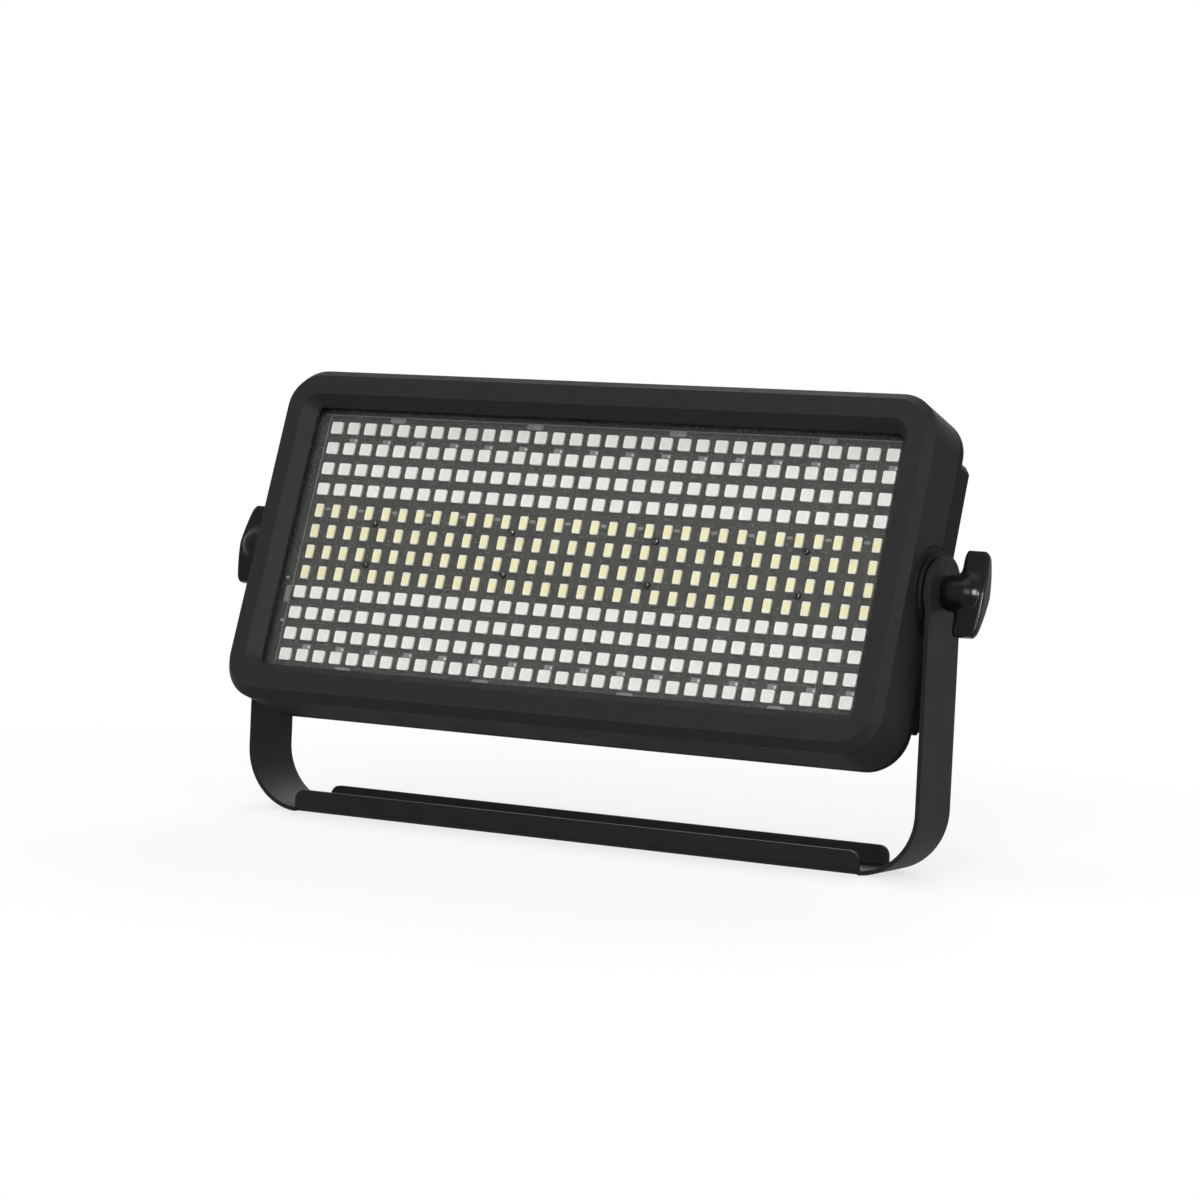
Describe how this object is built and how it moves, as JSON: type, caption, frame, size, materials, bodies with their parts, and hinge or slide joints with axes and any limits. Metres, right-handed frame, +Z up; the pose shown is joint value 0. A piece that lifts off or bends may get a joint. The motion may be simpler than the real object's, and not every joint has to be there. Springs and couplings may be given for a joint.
{
  "type": "led strobe light",
  "caption": "Flat rectangular LED strobe head with a clear window, tilting in a flanged strap-steel bracket between two winged clamp knobs; sockets, menu and fan on the back.",
  "frame": {"origin": "on the floor, under the middle of the whole object, which is on the bracket's underside 9.7 mm behind its centre line", "axes": "+Z up, the LED window faces -Y and leans back 18.4 degrees at rest, +X along the tilt axis to the right of someone facing the window"},
  "size_m": [0.29, 0.0982, 0.1554],
  "materials": {
    "housing_plastic": "satin black",
    "powder_coat": "black powder coat",
    "knob_plastic": "black, lightly glossy",
    "rubber": "matte black",
    "window_plastic": "clear",
    "led_board": "dark solder mask with white and yellow LED packages",
    "green_board": "green solder mask",
    "aluminium": "plain extruded",
    "zinc_steel": "zinc plated",
    "black_steel": "black plated",
    "brass": "plain turned",
    "smoked_plastic": "dark tinted"
  },
  "bodies": {
    "bracket": {"bracket_left": "powder_coat", "bracket_middle": "powder_coat", "bracket_right": "powder_coat"},
    "head": {"front_frame": "housing_plastic", "window_gasket": "rubber", "window": "window_plastic", "led_board": "led_board", "heat_sink": "aluminium", "rear_housing": "housing_plastic", "board_screw_1": "black_steel", "board_screw_2": "black_steel", "board_screw_3": "black_steel", "board_screw_4": "black_steel", "board_screw_5": "black_steel", "board_screw_6": "black_steel", "board_screw_7": "black_steel", "board_screw_8": "black_steel", "heat_sink_screw_1": "zinc_steel", "heat_sink_screw_2": "zinc_steel", "heat_sink_screw_3": "zinc_steel", "heat_sink_screw_4": "zinc_steel", "case_screw_1": "zinc_steel", "case_screw_2": "zinc_steel", "case_screw_3": "zinc_steel", "case_screw_4": "zinc_steel", "case_screw_5": "zinc_steel", "case_screw_6": "zinc_steel", "pivot_insert_left": "brass", "friction_washer_left": "rubber", "pivot_insert_right": "brass", "friction_washer_right": "rubber", "fan_frame": "knob_plastic", "fan_screw_1": "zinc_steel", "fan_screw_2": "zinc_steel", "fan_screw_3": "zinc_steel", "fan_screw_4": "zinc_steel", "power_supply": "green_board", "led_driver": "green_board", "control_board": "green_board", "display_window": "smoked_plastic", "power_inlet": "knob_plastic", "signal_in_socket": "black_steel", "signal_out_socket": "black_steel", "signal_in_screw_1": "zinc_steel", "signal_in_screw_2": "zinc_steel", "signal_out_screw_1": "zinc_steel", "signal_out_screw_2": "zinc_steel", "safety_eye": "zinc_steel", "safety_eye_screw_1": "zinc_steel", "safety_eye_screw_2": "zinc_steel"},
    "knob_left": {"knob_left": "knob_plastic", "knob_stud_left": "zinc_steel"},
    "knob_right": {"knob_right": "knob_plastic", "knob_stud_right": "zinc_steel"},
    "fan_rotor": {"fan_rotor": "knob_plastic"},
    "menu_button_1": {"menu_button_1": "knob_plastic"},
    "menu_button_2": {"menu_button_2": "knob_plastic"},
    "menu_button_3": {"menu_button_3": "knob_plastic"},
    "menu_button_4": {"menu_button_4": "knob_plastic"}
  },
  "joints": [
    {"name": "head_tilt", "type": "hinge", "parent": "bracket", "child": "head", "pos_m": [0, -0.00966, 0.0923], "axis": [-1, 0, 0], "range_deg": [-108.4, 71.6]},
    {"name": "knob_left_turn", "type": "hinge", "parent": "head", "child": "knob_left", "pos_m": [-0.1309, -0.00966, 0.0923], "axis": [-1, 0, 0], "range_deg": [0, 360]},
    {"name": "knob_right_turn", "type": "hinge", "parent": "head", "child": "knob_right", "pos_m": [0.1309, -0.00966, 0.0923], "axis": [1, 0, 0], "range_deg": [0, 360]},
    {"name": "fan_spin", "type": "hinge", "parent": "head", "child": "fan_rotor", "pos_m": [-0.006, 0.01701, 0.08343], "axis": [0, 0.9489, -0.3156], "continuous": true},
    {"name": "menu_button_1_press", "type": "slide", "parent": "head", "child": "menu_button_1", "axis": [0, -0.9489, 0.3156], "range_m": [0, 0.0008], "stiffness_N_per_m": 500},
    {"name": "menu_button_2_press", "type": "slide", "parent": "head", "child": "menu_button_2", "axis": [0, -0.9489, 0.3156], "range_m": [0, 0.0008], "stiffness_N_per_m": 500},
    {"name": "menu_button_3_press", "type": "slide", "parent": "head", "child": "menu_button_3", "axis": [0, -0.9489, 0.3156], "range_m": [0, 0.0008], "stiffness_N_per_m": 500},
    {"name": "menu_button_4_press", "type": "slide", "parent": "head", "child": "menu_button_4", "axis": [0, -0.9489, 0.3156], "range_m": [0, 0.0008], "stiffness_N_per_m": 500}
  ]
}
